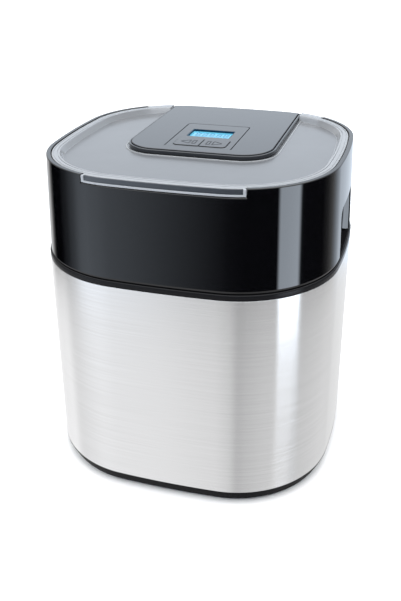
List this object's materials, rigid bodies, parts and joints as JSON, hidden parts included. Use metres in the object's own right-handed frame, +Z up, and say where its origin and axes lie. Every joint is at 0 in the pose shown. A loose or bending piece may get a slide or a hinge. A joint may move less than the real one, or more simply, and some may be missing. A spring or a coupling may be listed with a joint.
{
  "type": "frozen yogurt maker",
  "caption": "Table-top frozen yogurt maker: rounded-square steel and black body, coolant bowl and paddle, clear lid, and a flat drive head with lit display and two buttons.",
  "frame": {"origin": "on the table, below the middle of the body", "axes": "+Z up, front towards -Y, +X to the right as seen from the front"},
  "size_m": [0.225, 0.2186, 0.25],
  "materials": {
    "steel_brushed": "fine horizontal brushing",
    "black_gloss": "high gloss",
    "black_satin": "satin",
    "rubber_black": "matt",
    "clear_plastic": "clear, frosted in the middle",
    "anthracite_gloss": "gloss, fine metallic",
    "tub_plastic": "satin",
    "bowl_plastic": "satin",
    "liner_aluminium": "fine turned",
    "gel_blue": "sealed gel",
    "paddle_plastic": "satin",
    "display_glass": "backlit blue",
    "lcd_blue": "backlit",
    "board_green": "solder mask",
    "gear_acetal": "moulded",
    "zinc_steel": "zinc plated",
    "bronze": "sintered",
    "motor_steel": "drawn"
  },
  "bodies": {
    "base": {"base_pan": "black_satin", "foot_back_right": "rubber_black", "foot_back_left": "rubber_black", "foot_front_left": "rubber_black", "foot_front_right": "rubber_black", "steel_shell": "steel_brushed", "collar_ring": "black_satin", "upper_housing": "black_gloss", "inner_tub": "tub_plastic", "base_screws": "zinc_steel", "housing_screws": "zinc_steel"},
    "bowl": {"bowl_shell": "bowl_plastic", "bowl_liner": "liner_aluminium", "coolant_gel": "gel_blue", "bowl_ring": "bowl_plastic"},
    "paddle": {"paddle": "paddle_plastic"},
    "lid": {"lid": "clear_plastic"},
    "drive": {"output_gear": "gear_acetal", "drive_shaft": "zinc_steel", "shaft_clip": "zinc_steel"},
    "idler_b": {"idler_b_gear": "gear_acetal"},
    "idler_a": {"idler_a_gear": "gear_acetal"},
    "rotor": {"motor_shaft": "zinc_steel", "motor_pinion": "bronze"},
    "button_left": {"button_left": "anthracite_gloss"},
    "button_right": {"button_right": "anthracite_gloss"},
    "head": {"board_screws": "zinc_steel", "control_board": "board_green", "control_panel": "anthracite_gloss", "cord_gland": "rubber_black", "display_lens": "display_glass", "gear_plate": "motor_steel", "head_body": "black_satin", "head_cover": "anthracite_gloss", "head_frame": "anthracite_gloss", "head_screws": "zinc_steel", "idler_a_pin": "zinc_steel", "idler_b_pin": "zinc_steel", "key_switches": "black_satin", "lcd_module": "lcd_blue", "motor_can": "motor_steel", "motor_screws": "zinc_steel", "power_board": "board_green", "shaft_bush_lower": "bronze", "shaft_bush_upper": "bronze", "transformer": "black_satin"}
  },
  "joints": [
    {"name": "lid_lift", "type": "slide", "parent": "base", "child": "lid", "axis": [0, 0, 1], "range_m": [0, 0.2]},
    {"name": "bowl_lift", "type": "slide", "parent": "base", "child": "bowl", "axis": [0, 0, 1], "range_m": [0, 0.16]},
    {"name": "head_lift", "type": "slide", "parent": "lid", "child": "head", "axis": [0, 0, 1], "range_m": [0, 0.06]},
    {"name": "drive_spin", "type": "hinge", "parent": "head", "child": "drive", "pos_m": [0, 0, 0.21], "axis": [0, 0, 1], "continuous": true},
    {"name": "idler_b_spin", "type": "hinge", "parent": "head", "child": "idler_b", "pos_m": [0, 0.024, 0.21], "axis": [0, 0, 1], "continuous": true},
    {"name": "idler_a_spin", "type": "hinge", "parent": "head", "child": "idler_a", "pos_m": [0, 0.0456, 0.215], "axis": [0, 0, 1], "continuous": true},
    {"name": "rotor_spin", "type": "hinge", "parent": "head", "child": "rotor", "pos_m": [0, 0.0636, 0.22], "axis": [0, 0, 1], "continuous": true},
    {"name": "paddle_spin", "type": "hinge", "parent": "bowl", "child": "paddle", "pos_m": [0, 0, 0.12], "axis": [0, 0, 1], "continuous": true},
    {"name": "button_left_press", "type": "slide", "parent": "head", "child": "button_left", "axis": [0, 0, -1], "range_m": [0, 0.0007], "stiffness_N_per_m": 400, "springref_m": -0.0005},
    {"name": "button_right_press", "type": "slide", "parent": "head", "child": "button_right", "axis": [0, 0, -1], "range_m": [0, 0.0007], "stiffness_N_per_m": 400, "springref_m": -0.0005}
  ],
  "couplings": [
    {"joint": "bowl_lift", "follows": "lid_lift", "ratio": 0.8},
    {"joint": "paddle_spin", "follows": "drive_spin", "ratio": 1},
    {"joint": "idler_b_spin", "follows": "drive_spin", "ratio": -3},
    {"joint": "idler_a_spin", "follows": "drive_spin", "ratio": 15},
    {"joint": "rotor_spin", "follows": "drive_spin", "ratio": -75}
  ]
}
